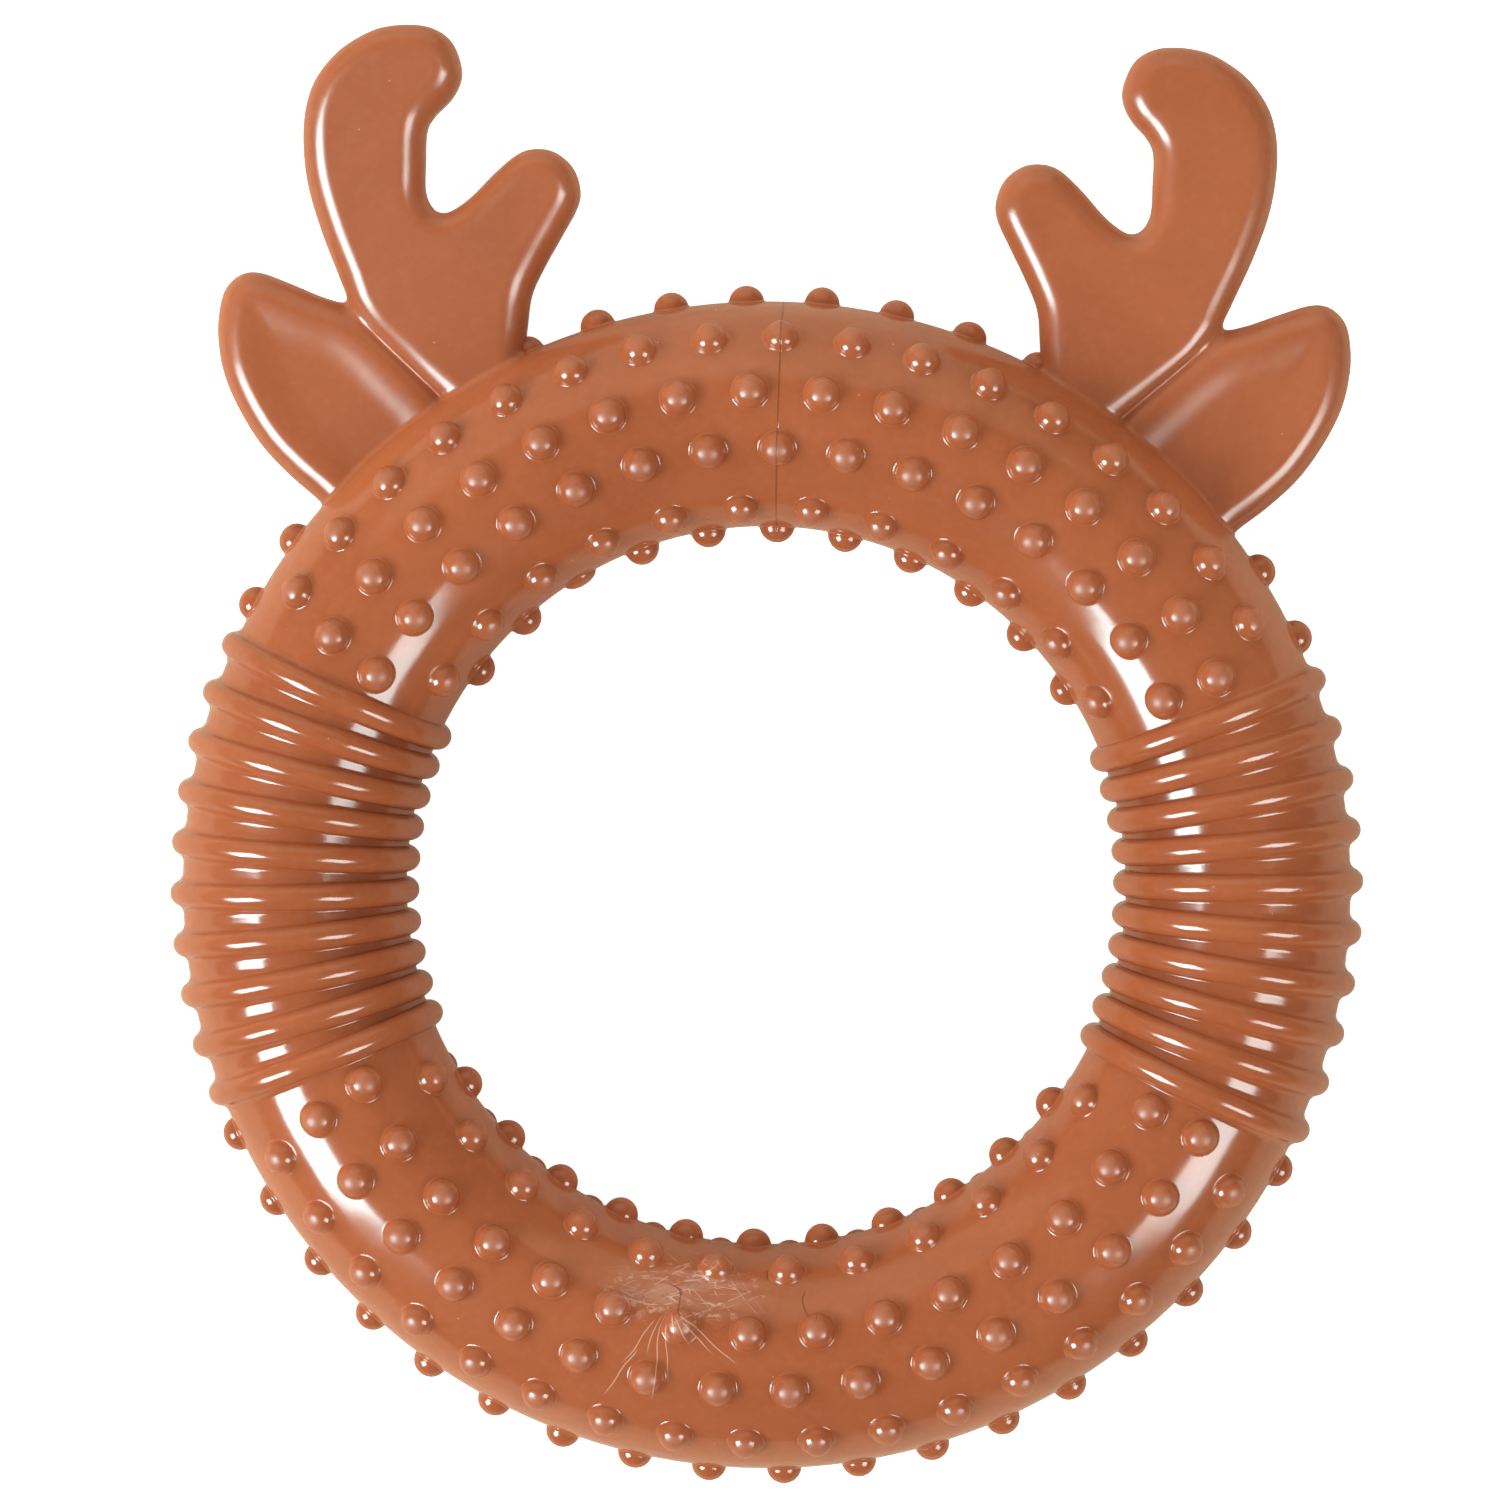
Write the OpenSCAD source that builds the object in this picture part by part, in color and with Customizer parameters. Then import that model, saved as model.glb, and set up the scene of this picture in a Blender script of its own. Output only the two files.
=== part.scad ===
// Solid rubber chew ring with nubbed arcs, two ribbed grips, and a pair of antlers and ears on its rim.
// The ring lies flat. Its axis is Z, +Z faces the viewer and +Y points to the antlers.
// Places round the ring are azimuths: degrees from +Y, growing towards +X on the right-hand half.

/* [Ring] */
// Radius of the ring's centreline
ring_r = 56; // [50:1:70]
// Diameter of the solid tube that is bent into the ring
tube_d = 26.6; // [24:0.2:29]

/* [Nubs] */
// Diameter of one nub
nub_d = 4.4; // [3.2:0.1:5]
// Height of a nub above the tube
nub_h = 2; // [1.2:0.1:2.1]

/* [Grips] */
// Ribs round each grip
rib_count = 10; // [4:1:11]
// Width of one rib at its foot
rib_w = 3.5; // [2.8:0.1:4]
// Height of a rib above the tube
rib_h = 1.5; // [1:0.1:1.6]
// Gap between the feet of two ribs, on the inner side of the ring
rib_gap = 0.25; // [0.1:0.05:0.6]

/* [Antlers] */
// Width of an antler from the tip of its front tine to its outer edge
antler_w = 31; // [26:0.5:34]
// Height of an antler above the tube
antler_h = 42; // [34:0.5:50]
// Thickness of an antler
antler_t = 8; // [6.5:0.1:9]
// Rounding of an antler's edges
antler_edge = 2.2; // [1:0.1:2.4]

/* [Ears] */
// Width of an ear, with the strip that the antler hides
ear_w = 23; // [20:0.5:25]
// Height of an ear above the tube
ear_h = 26.4; // [20:0.2:32]
// Thickness of an ear at its rim
ear_t = 6.8; // [5:0.1:7.6]
// Rounding of an ear's edges
ear_edge = 2; // [1:0.1:2.2]
// Depth of the dish in each face of an ear
ear_dish = 1; // [0.5:0.1:2]

/* [Hidden] */
$fn = 96;
ring_fn = 256;

tan_rubber = [0.70, 0.38, 0.23];
light_tan = [0.76, 0.44, 0.28];
dark_tan = [0.62, 0.33, 0.20];

tube_r = tube_d / 2;
nub_r = nub_d / 2;
// Half height of the cut that an antler makes in the pieces beside it, more than any of them needs
cut_h = tube_d;

// The angle between two ribs is set where they stand closest, on the inner side of the ring.
inner_r = ring_r - tube_r;
rib_step = (rib_w + rib_gap) / inner_r * 180 / PI;
grip_half = (rib_count - 1) / 2 * rib_step + atan(rib_w / 2 / inner_r);
grip_edge = 90 - grip_half;
// The arc of a rib's section passes through both feet and the crest.
rib_r = (rib_w * rib_w / 4 + rib_h * rib_h) / 2 / rib_h;

// Rows of nubs on one face: the row's angle round the tube from the face towards the outer side,
// the azimuth between two nubs, and the first nub's azimuth as a share of that.
FACE_ROWS = [[41, 7.39, 0], [10.4, 8.25, 0.6], [-18.6, 8.92, 0], [-55.1, 10.66, 0.5]];
OUTER_ROW = [90, 7.4, 0.5];
INNER_ROW = [-90, 10.95, 0];

// Outline of the right antler, as shares of its width and height from the foot of its own radius
antler_azimuth = 32;
antler_shares = [
    [-0.229, -0.014], [-0.300, 0.065], [-0.367, 0.126], [-0.460, 0.174], [-0.575, 0.224],
    [-0.680, 0.271], [-0.726, 0.312], [-0.744, 0.374], [-0.718, 0.433], [-0.665, 0.469],
    [-0.594, 0.485], [-0.485, 0.473], [-0.353, 0.447], [-0.268, 0.441], [-0.226, 0.449],
    [-0.203, 0.477], [-0.211, 0.527], [-0.268, 0.599], [-0.330, 0.670], [-0.386, 0.696],
    [-0.467, 0.712], [-0.531, 0.739], [-0.568, 0.778], [-0.585, 0.851], [-0.550, 0.910],
    [-0.475, 0.955], [-0.376, 0.987], [-0.280, 0.995], [-0.179, 0.988], [-0.063, 0.954],
    [0.028, 0.895], [0.103, 0.812], [0.166, 0.706], [0.208, 0.580], [0.234, 0.460],
    [0.248, 0.385], [0.247, 0.330], [0.212, 0.211], [0.126, -0.014], [0.080, -0.150],
    [-0.050, -0.205], [-0.170, -0.140]
];

// Outline of the right ear, as shares of its width and height; its first stretch is hidden by the antler
ear_azimuth = 45;
ear_shares = [
    [-0.652, 0.227], [-0.600, 0.417], [-0.530, 0.520], [-0.455, 0.598], [-0.403, 0.683],
    [-0.341, 0.806], [-0.264, 0.938], [-0.184, 0.992], [-0.074, 0.992], [0.037, 0.932],
    [0.135, 0.846], [0.230, 0.720], [0.298, 0.559], [0.341, 0.372], [0.341, 0.190],
    [0.323, 0.040], [0.300, -0.130], [0.160, -0.300], [-0.180, -0.340], [-0.480, -0.260],
    [-0.630, -0.020]
];
// Middle of the ear's dish, and how far the dish has sunk at each share of the way in from the rim
dish_centre_shares = [-0.10, 0.33];
dish_shares = [[0.10, 0.35], [0.22, 0.85], [0.40, 1]];

// How the flat of each outline is covered: a strip from two places on it inwards, over a number of steps
antler_strips = [[-2, 40, 4], [2, 13, 5.5], [13, 36, 11.5]];
antler_fork = [2, 13, 36];
ear_strips = [[0, 21, 10.5]];

// Steps between two points of an outline, and over the quarter circle of a rounded edge
curve_steps = 2;
edge_steps = 3;

// Closed smooth curve through all points of a list
function smooth(p) = [
    for (i = [0 : len(p) - 1])
        for (k = [0 : curve_steps - 1])
            let (
                n = len(p),
                a = p[(i + n - 1) % n],
                b = p[i],
                c = p[(i + 1) % n],
                d = p[(i + 2) % n],
                t = k / curve_steps
            )
            (2 * b + (c - a) * t + (2 * a - 5 * b + 4 * c - d) * t * t + (3 * b - a - 3 * c + d) * t * t * t) / 2
];

// A closed clockwise curve moved inwards by a distance
function inset(p, by) = [
    for (i = [0 : len(p) - 1])
        let (
            n = len(p),
            way = p[(i + 1) % n] - p[(i + n - 1) % n]
        )
        p[i] + by / norm(way) * [way.y, -way.x]
];

function towards(p, centre, share) = [for (q = p) q + (centre - q) * share];
function at_height(p, z) = [for (q = p) [q.x, q.y, z]];
function reversed(rings) = [for (i = [len(rings) - 1 : -1 : 0]) rings[i]];
function below(ring) = [for (q = ring) [q.x, q.y, -q.z]];

function antler_outline() = smooth([for (s = antler_shares) [s.x * antler_w, s.y * antler_h]]);
function ear_outline() = smooth([for (s = ear_shares) [s.x * ear_w, s.y * ear_h]]);

// Rings of a plate's front half, from its middle plane up over the rounded edge
function edge_rings(p, thickness, edge) = [
    for (i = [0 : edge_steps])
        let (turn = 90 * i / edge_steps)
        at_height(inset(p, edge * (1 - cos(turn))), thickness / 2 - edge + edge * sin(turn))
];

// Rings that sink from the rim of an ear into its dish
function dish_rings(p) = let (
    rim = inset(p, ear_edge),
    centre = [dish_centre_shares.x * ear_w, dish_centre_shares.y * ear_h]
) [
    for (s = dish_shares) at_height(towards(rim, centre, s[0]), ear_t / 2 - ear_dish * s[1])
];

// Triangles that cover a closed curve, strip by strip between its two banks
function cover(strips, n) = [
    for (s = strips)
        for (k = [0 : floor(s[2] * curve_steps) - 1])
            let (
                i = s[0] * curve_steps + k + n,
                j = s[1] * curve_steps - k
            )
            for (t = [[i, i + 1, j], [j, i + 1, j - 1]])
                let (u = [t[0] % n, t[1] % n, t[2] % n])
                if (u[0] != u[1] && u[1] != u[2] && u[2] != u[0]) u
];

// Plate whose two faces are alike, closed by the same triangles over the rings of its front half
module plate(front_rings, cap) {
    rings = concat(reversed([for (r = front_rings) below(r)]), front_rings);
    n = len(rings[0]);
    last = len(rings) - 1;
    points = [for (r = rings) each r];
    sides = [
        for (k = [0 : last - 1])
            for (i = [0 : n - 1])
                let (
                    a = k * n + i,
                    b = k * n + (i + 1) % n
                )
                each [[a, b, b + n], [a, b + n, a + n]]
    ];
    back = [for (t = cap) [t[0], t[2], t[1]]];
    front = [for (t = cap) [for (i = t) last * n + i]];
    polyhedron(points = points, faces = concat(sides, back, front));
}

// Frame of a piece that stands on the rim: +Y runs outwards from the tube's outer side
module on_rim(azimuth) {
    rotate([0, 0, -azimuth])
        translate([0, ring_r + tube_r])
            children();
}

module ring_sweep(from, to) {
    rotate([0, 0, 90 - to])
        rotate_extrude(angle = to - from, $fn = ring_fn)
            translate([ring_r, 0])
                circle(r = tube_r);
}

// The whole ring is cut away from what stands on it, so that every foot fits the tube.
module whole_ring() {
    rotate_extrude($fn = ring_fn)
        translate([ring_r, 0])
            circle(r = tube_r);
}

module antler_cut() {
    on_rim(antler_azimuth)
        translate([0, 0, -cut_h])
            linear_extrude(2 * cut_h)
                polygon(antler_outline());
}

module ear_cut() {
    on_rim(ear_azimuth)
        translate([0, 0, -ear_t / 2])
            linear_extrude(ear_t)
                polygon(ear_outline());
}

module antler() {
    outline = antler_outline();
    fork = [for (i = antler_fork) i * curve_steps];
    difference() {
        on_rim(antler_azimuth)
            plate(
                edge_rings(outline, antler_t, antler_edge),
                concat(cover(antler_strips, len(outline)), [fork])
            );
        whole_ring();
    }
}

module ear() {
    outline = ear_outline();
    difference() {
        on_rim(ear_azimuth)
            plate(
                concat(edge_rings(outline, ear_t, ear_edge), dish_rings(outline)),
                cover(ear_strips, len(outline))
            );
        whole_ring();
        antler_cut();
    }
}

module nub(azimuth, tilt) {
    rotate([0, 0, -azimuth])
        translate([0, ring_r])
            rotate([-tilt, 0, 0])
                translate([0, 0, tube_r + nub_h - nub_r])
                    sphere(r = nub_r);
}

// The upper half of one row; the last nub stays clear of the grip
module nub_row(row) {
    reach = ring_r + tube_r * sin(row[0]);
    last_azimuth = grip_edge - asin(nub_r / reach);
    first = row[2] * row[1];
    for (azimuth = [first : row[1] : last_azimuth]) {
        nub(azimuth, row[0]);
        if (azimuth > 0)
            nub(-azimuth, row[0]);
    }
}

module upper_nubs(rows) {
    difference() {
        for (row = rows)
            nub_row(row);
        whole_ring();
    }
}

module lower_nubs(rows) {
    rotate([0, 0, 180])
        upper_nubs(rows);
}

module rib(azimuth) {
    rotate([0, 0, -azimuth])
        translate([0, ring_r])
            rotate([0, 90, 0])
                rotate_extrude()
                    translate([tube_r + rib_h - rib_r, 0])
                        circle(r = rib_r);
}

module grip_ribs() {
    difference() {
        for (i = [0 : rib_count - 1])
            rib(90 + (i - (rib_count - 1) / 2) * rib_step);
        whole_ring();
    }
}

module upper_left_arc() {
    color(tan_rubber)
        ring_sweep(-grip_edge, 0);
}

module upper_right_arc() {
    color(tan_rubber)
        ring_sweep(0, grip_edge);
}

module lower_arc() {
    color(tan_rubber)
        ring_sweep(180 - grip_edge, 180 + grip_edge);
}

module left_grip() {
    color(dark_tan)
        ring_sweep(-90 - grip_half, -90 + grip_half);
}

module right_grip() {
    color(dark_tan)
        ring_sweep(90 - grip_half, 90 + grip_half);
}

module left_grip_ribs() {
    color(light_tan)
        rotate([0, 0, 180])
            grip_ribs();
}

module right_grip_ribs() {
    color(light_tan)
        grip_ribs();
}

module left_antler() {
    color(tan_rubber)
        mirror([1, 0, 0])
            antler();
}

module right_antler() {
    color(tan_rubber)
        antler();
}

module left_ear() {
    color(dark_tan)
        mirror([1, 0, 0])
            ear();
}

module right_ear() {
    color(dark_tan)
        ear();
}

// The plates on the rim take the place of the outer nubs that they stand on.
module upper_outer_nubs() {
    color(light_tan)
        difference() {
            upper_nubs([OUTER_ROW]);
            for (side = [0, 1])
                mirror([side, 0, 0]) {
                    antler_cut();
                    ear_cut();
                }
        }
}

module lower_outer_nubs() {
    color(light_tan)
        lower_nubs([OUTER_ROW]);
}

module upper_front_nubs() {
    color(light_tan)
        upper_nubs(FACE_ROWS);
}

module lower_front_nubs() {
    color(light_tan)
        lower_nubs(FACE_ROWS);
}

module upper_inner_nubs() {
    color(light_tan)
        upper_nubs([INNER_ROW]);
}

module lower_inner_nubs() {
    color(light_tan)
        lower_nubs([INNER_ROW]);
}

// The back carries the same rows as the front.
module upper_back_nubs() {
    color(light_tan)
        mirror([0, 0, 1])
            upper_nubs(FACE_ROWS);
}

module lower_back_nubs() {
    color(light_tan)
        mirror([0, 0, 1])
            lower_nubs(FACE_ROWS);
}

upper_left_arc();
upper_right_arc();
lower_arc();
left_grip();
right_grip();
left_grip_ribs();
right_grip_ribs();
left_antler();
right_antler();
left_ear();
right_ear();
upper_outer_nubs();
lower_outer_nubs();
upper_front_nubs();
lower_front_nubs();
upper_inner_nubs();
lower_inner_nubs();
upper_back_nubs();
lower_back_nubs();
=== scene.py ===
"""Looks of the moulded rubber chew ring.

The bare tube and the ribbed grips are grids laid round the ring. Each nub is a small dome whose filleted
foot runs out flush with the tube. The antlers and ears are meshed from signed distances and have filleted
feet too. Every surface takes the normals of its shape, so the toy looks moulded in one shot; only the left
antler's are turned a little. The constants are in millimetres and degrees, unless a line says otherwise.
"""
import math

import bpy
import numpy as np
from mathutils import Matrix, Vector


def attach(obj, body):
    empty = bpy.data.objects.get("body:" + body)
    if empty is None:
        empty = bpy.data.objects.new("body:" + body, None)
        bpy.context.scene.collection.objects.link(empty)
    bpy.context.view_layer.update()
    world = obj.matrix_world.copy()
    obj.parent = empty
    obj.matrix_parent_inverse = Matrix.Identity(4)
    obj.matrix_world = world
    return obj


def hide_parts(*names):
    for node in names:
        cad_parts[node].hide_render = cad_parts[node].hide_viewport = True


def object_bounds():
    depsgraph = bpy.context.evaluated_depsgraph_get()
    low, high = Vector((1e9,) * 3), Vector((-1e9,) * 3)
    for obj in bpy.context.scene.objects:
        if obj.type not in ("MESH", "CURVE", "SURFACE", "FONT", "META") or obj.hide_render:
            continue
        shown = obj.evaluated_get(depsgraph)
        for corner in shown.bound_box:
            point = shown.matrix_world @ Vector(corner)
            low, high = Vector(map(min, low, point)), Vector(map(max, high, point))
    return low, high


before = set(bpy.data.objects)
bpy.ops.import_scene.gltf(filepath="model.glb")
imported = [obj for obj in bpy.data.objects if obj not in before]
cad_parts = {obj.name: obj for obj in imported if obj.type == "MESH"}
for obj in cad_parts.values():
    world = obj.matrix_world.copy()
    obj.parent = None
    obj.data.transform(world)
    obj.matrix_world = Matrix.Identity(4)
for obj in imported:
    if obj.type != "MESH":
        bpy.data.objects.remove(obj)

import openvdb
from mathutils import Matrix, Vector

cad_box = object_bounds()

# A millimetre in metres
MM = 0.001

# Ring; an azimuth is counted from +Y towards +X, a tilt from the front of the tube towards its outside
RING_R = 56.0
TUBE_R = 13.3
TUBE_STEP = 1.2
TUBE_SIDES = 120
# Rows of a bare arc's mesh near its ends, counted from the end
EDGE_ROWS = np.array([0, 0.06, 0.12, 0.18, 0.25, 0.33, 0.42, 0.55, 0.75])
ROW_DIGITS = 6

# Nubs: rows as tilt round the tube, azimuth between two nubs, first azimuth as a share of that
NUB_R = 2.08
NUB_H = 2.0
NUB_FILLET = 0.35
FACE_ROWS = [(41, 7.39, 0), (10.4, 8.25, 0.6), (-18.6, 8.92, 0), (-55.1, 10.66, 0.5)]
OUTER_ROW = [(90, 7.4, 0.5)]
INNER_ROW = [(-90, 10.95, 0)]
NUB_SIDES = 32
DOME_STEPS = 9
FILLET_STEPS = 5
SKIRT_W = 0.25
SKIRT_DEPTH = 0.12
# Half the width that a row's end keeps free for a nub
NUB_ROOM = 2.2
# The torn nub of the inner row as azimuth and tilt, how near in radians, and what is left of its height
TORN_NUB = (-32.85, -90)
SAME_PLACE = 0.01
TORN_HEIGHT = 0.5
# Most that a nub is worn, as a share of its height
NUB_WEAR = 0.06
WEAR_SEED = 7
# Share of the height from which a nub's top gets dull and is painted paler as a sheen, and the share over
# which it does
DULL_FROM = 0.66
DULL_LONG = 0.32

# Ribs; a rib's body is narrower than its foot, and its fillet widens away from the ring's axis
RIB_COUNT = 10
RIB_W = 3.5
RIB_H = 1.5
RIB_GAP = 0.25
RIB_FILLET = 0.22
RIB_FILLET_OUT = 1.2
RIB_FILLET_FROM = 48.0
RIB_FILLET_TO = 69.0
RIB_BODY = 3.1
INNER_R = RING_R - TUBE_R
RIB_STEP = math.degrees((RIB_W + RIB_GAP) / INNER_R)
RIB_R = (RIB_BODY ** 2 / 4 + RIB_H ** 2) / 2 / RIB_H
GRIP_HALF = (RIB_COUNT - 1) / 2 * RIB_STEP + math.degrees(math.atan(RIB_W / 2 / INNER_R))
GRIP_EDGE = 90 - GRIP_HALF
CREST_STEPS = 9
VALLEY_STEPS = 7
VALLEY_CROWDING = 1.5
VALLEY_EASE = 0.05
# Keeps a root above zero beside the crests
LEAST_SQUARE = 0.01
# Valleys lower than this get painted shade, within a distance from the ring's axis, and not at the grip's
# ends
CREASE_H = 0.5
CREASE_TO = 58.0
CREASE_LONG = 12.0
CREASE_END = 0.8

# Antlers
ANTLER_AZIMUTH = 32
ANTLER_SIZE = (31.0, 42.0)
ANTLER_T = 8.0
ANTLER_ROUND = 3.2
# How dull the antlers are; this also paints them a little paler as a sheen
ANTLER_DULL = 0.3
# The left antler catches the light as if its tips lean towards the viewer
LEAN = 12.0
LEAN_LONG = 12.0
ANTLER_SHARES = [
    (-0.229, -0.014), (-0.300, 0.065), (-0.367, 0.126), (-0.460, 0.174), (-0.575, 0.224),
    (-0.680, 0.271), (-0.726, 0.312), (-0.744, 0.374), (-0.718, 0.433), (-0.665, 0.469),
    (-0.594, 0.485), (-0.485, 0.473), (-0.353, 0.447), (-0.268, 0.441), (-0.226, 0.449),
    (-0.203, 0.477), (-0.211, 0.527), (-0.268, 0.599), (-0.330, 0.670), (-0.386, 0.696),
    (-0.467, 0.712), (-0.531, 0.739), (-0.568, 0.778), (-0.585, 0.851), (-0.550, 0.910),
    (-0.475, 0.955), (-0.376, 0.987), (-0.280, 0.995), (-0.179, 0.988), (-0.063, 0.954),
    (0.028, 0.895), (0.103, 0.812), (0.166, 0.706), (0.208, 0.580), (0.234, 0.460),
    (0.248, 0.385), (0.247, 0.330), (0.212, 0.211), (0.126, -0.014), (0.080, -0.150),
    (-0.050, -0.205), (-0.170, -0.140)
]

# Ears
EAR_AZIMUTH = 45
EAR_SIZE = (23.0, 26.4)
EAR_T = 6.8
EAR_ROUND = 3.3
# How dull the ears are; this also paints them a little paler as a sheen
EAR_DULL = 0.3
EAR_DISH = 0.75
DISH_START = 2.6
DISH_SLOPE = 4.8
EAR_SHARES = [
    (-0.530, -0.020), (-0.528, 0.227), (-0.515, 0.417), (-0.490, 0.520), (-0.455, 0.598), (-0.403, 0.683),
    (-0.341, 0.806), (-0.264, 0.938), (-0.184, 0.992), (-0.074, 0.992), (0.037, 0.932),
    (0.135, 0.846), (0.230, 0.720), (0.298, 0.559), (0.341, 0.372), (0.341, 0.190),
    (0.323, 0.040), (0.300, -0.130), (0.160, -0.300), (-0.180, -0.340), (-0.480, -0.260)
]

# Fillets at the plates' feet, at the seam of antler and ear, and in the notch between them
PLATE_FILLET = 0.9
SEAM_FILLET = 0.6
SEAM_ROUND = 1.9
SEAM_LONG = 18.0
SEAM_EASE = 8.0
NOTCH_FILLET = 1.8
NOTCH_FROM = 79.0
NOTCH_LONG = 4.0

# Meshing of the plates; DIVE, REACH and DEPTH shape the skirt that goes under the base
VOXEL = 0.28
CURVE_STEPS = 8
SETTLE_STEPS = 2
RELAX_STEPS = 6
RELAX_SHARE = 0.5
PROBE = 0.02
MIN_SLOPE = 0.5
MOST_STEP = 0.4
# Keeps a zero vector from dividing by zero
LEAST_LENGTH = 1e-9
CHUNK = 20000
MAP_STEP = 0.25
MAP_MARGIN = 8.0
BLUR_ROUNDS = 3
DIVE = 0.08
REACH = 0.8
DEPTH = 1.0
BOX_MARGIN = 3.0
CORNERS = np.array([(1, -1, -1), (-1, -1, 1), (-1, 1, -1), (1, 1, 1)])

# Colours of the rubber
TAN = (0.465, 0.133, 0.048, 1)
TAN_DARK = (0.415, 0.113, 0.039, 1)
TAN_PALE = (0.56, 0.205, 0.095, 1)
SCUFF = (0.76, 0.5, 0.36, 1)
# Dark colour of the cracks and the knit line, and also of the painted shade in the ribs' valleys
CRACK_AND_SHADE = (0.16, 0.034, 0.012, 1)

# Shares of these colours where a mark is at its strongest
GRAIN_TINT = 0.12
# Share of the painted sheen on the dull tops of the nubs and on the plates
TIP_SHEEN_TINT = 0.15
# Share of painted shade in the ribs' inner valleys
CREASE_SHADE_TINT = 0.45
HAZE_TINT = 0.35
WHITE_TINT = 0.8
SPECK_TINT = 0.5
CRACK_TINT = 0.75
KNIT_TINT = 0.5

# Gloss: index of refraction, roughness, and what each pattern adds to it
IOR = 1.5
ROUGH = 0.11
CLOUD_ROUGH = 0.06
GRAIN_ROUGH = 0.03
TIP_ROUGH = 0.3
HAZE_ROUGH = 0.25

# Noise of the rubber: scale per millimetre, detail, distortion
NOISE_MIDDLE = 0.5
CLOUDS = (0.05, 3.0, 0.6)
GRAIN = (0.9, 2.0)
WAVES = (0.22, 0.0)
RIPPLES = (1.4, 1.0)
BUMP_MM = 0.05
RIPPLE_SHARE = 0.06
KNIT_SHARE = -0.6

# A window holds the value at which a mark is full and the value at which it is gone
CLOUD_WINDOW = (0.3, 0.7)
GRAIN_WINDOW = (0.7, 0.4)
# The knit line runs up the ring's middle plane, over the top arc only
KNIT_WINDOW = (0.05, 0.13)
KNIT_FOOT = (43.0, 41.0)
# Cells with a lower lot have no speck
SPECK_SCALE = 0.3
SPECK_WINDOW = (0.02, 0.045)
SPECK_LOT = 0.6

# Marks round the mould's gate; a patch holds its centre, its stretch and its window
GATE = (-9.0, -48.6, 13.0)
HAZE_PATCH = ((-7, -46.5, 12.5), (0.5, 1.5, 0.8), 1.0, 6.5)
HAZE_STRETCH = (0.4, 1, 1)
HAZE_NOISE = (0.5, 4.0, 1.0)
HAZE_WINDOW = (0.7, 0.35)
STREAK_PATCH = ((-7, -47, 12.5), (0.55, 1.3, 0.6), 2.0, 7.0)
STREAK_STRETCH = (0.12, 1, 0.2)
STREAK_SHIFT = 3
STREAK_WIDTH = 0.009
HAIR_DETAIL = 1.0
GAP_NOISE = (0.9, 1.0)
GAP_WINDOW = (0.6, 0.4)
# Short streaks: direction and scale; the shift is per degree, so that each set differs
STREAKS = [(12, 0.55), (-24, 0.5), (48, 0.45), (-4, 0.7)]
# Long scratches from the gate: direction, start and end; they sway a little
SCRATCHES = [
    (-105, 3.0, 11.8), (-130, 3.0, 9.0), (-127, 7.0, 13.5), (-40, 2.0, 10.5), (-48, 3.0, 8.0),
    (-92, 3.0, 9.0), (-116, 2.0, 6.5), (-75, 1.5, 4.5), (-60, 2.0, 6.0), (172, 2.0, 7.0)
]
SCRATCH_WINDOW = (0.03, 0.09)
SCRATCH_IN = 1
SCRATCH_OUT = 2
SWAY_SCALE = 0.12
SWAY_DETAIL = 1.0
SWAY = (4, 4, 0)
# Marks stay on the front of the tube
FRONT_WINDOW = (4.0, 2.0)
CRACK_PATCH = ((1, -46.5, 11), (0.5, 1.5, 0.6), 6.0, 9.0)
CRACK_SHIFT = (7, 90, 3)
CRACK_STRETCH = (1, 0.4, 1)
CRACK_SCALE = 0.11
CRACK_WIDTH = 0.004
CRACK_GAP_NOISE = (0.3, 0.0)
CRACK_GAP_WINDOW = (0.55, 0.5)

# Camera, fitted to the nubs and outlines in the photograph; turns in radians, clipping in metres
CAMERA_TURN = (0.03435, -0.026961, -0.03326)
CAMERA_SHIFT = (1.83125, -16.174539, -700.0)
FOCAL_PX = 5894.84
PICTURE_PX = 1500
SENSOR = 36.0
CLIP_START = 0.01
CLIP_END = 10

# Lights: name, azimuth and elevation from the ring's axis, size in metres, power, colour, and whether it is
# for highlights or else for shading
LIGHT_DISTANCE = 0.9
WHITE = (1, 1, 1)
LIGHTS = [
    ("left_box", -46, -19, (0.4, 0.44), 19.0, (0.64, 0.95, 1), True),
    ("right_box", 42, -19, (0.36, 0.44), 7.2, (0.85, 1, 1), True),
    ("top_box", -20, 65, (1.3, 1.0), 2.6, (0.95, 1, 0.7), True),
    ("left_key", -46, -19, (0.42, 0.44), 5.1, WHITE, False),
    ("right_key", 42, -18, (0.42, 0.40), 1.9, WHITE, False),
    ("front_fill", -15, -5, (0.8, 0.8), 1.0, WHITE, False),
    ("left_fill", -75, 10, (0.8, 0.8), 5.0, WHITE, False),
    ("right_fill", 75, 10, (0.8, 0.8), 2.0, WHITE, False),
    ("top_fill", -15, 65, (0.8, 0.8), 3.4, WHITE, False),
    ("bottom_fill", -10, -70, (0.8, 0.8), 2.0, WHITE, False),
]
# How bright the world is for shading and in highlights
WORLD_SHADE = 0.12
WORLD_GLOSS = 0.06

# Floor, its size in metres
FLOOR_SIZE = 3.0
FLOOR_GLOW = 0.85
FLOOR_ROUGH = 0.9
FLOOR_TINT = (0.92, 0.88, 0.82, 1)
# Painted reflection: the floor's colour in reflections is warmer, standing in for warm bounce light from
# the toy
FLOOR_WARM_REFLECTION_TINT = (0.82, 0.72, 0.52, 1)


def soft_union(a, b, blend):
    """Union of two distances with a fillet about as wide as blend."""
    near = np.maximum(blend - np.abs(a - b), 0) / blend
    return np.minimum(a, b) - near ** 2 * blend / 4


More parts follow.
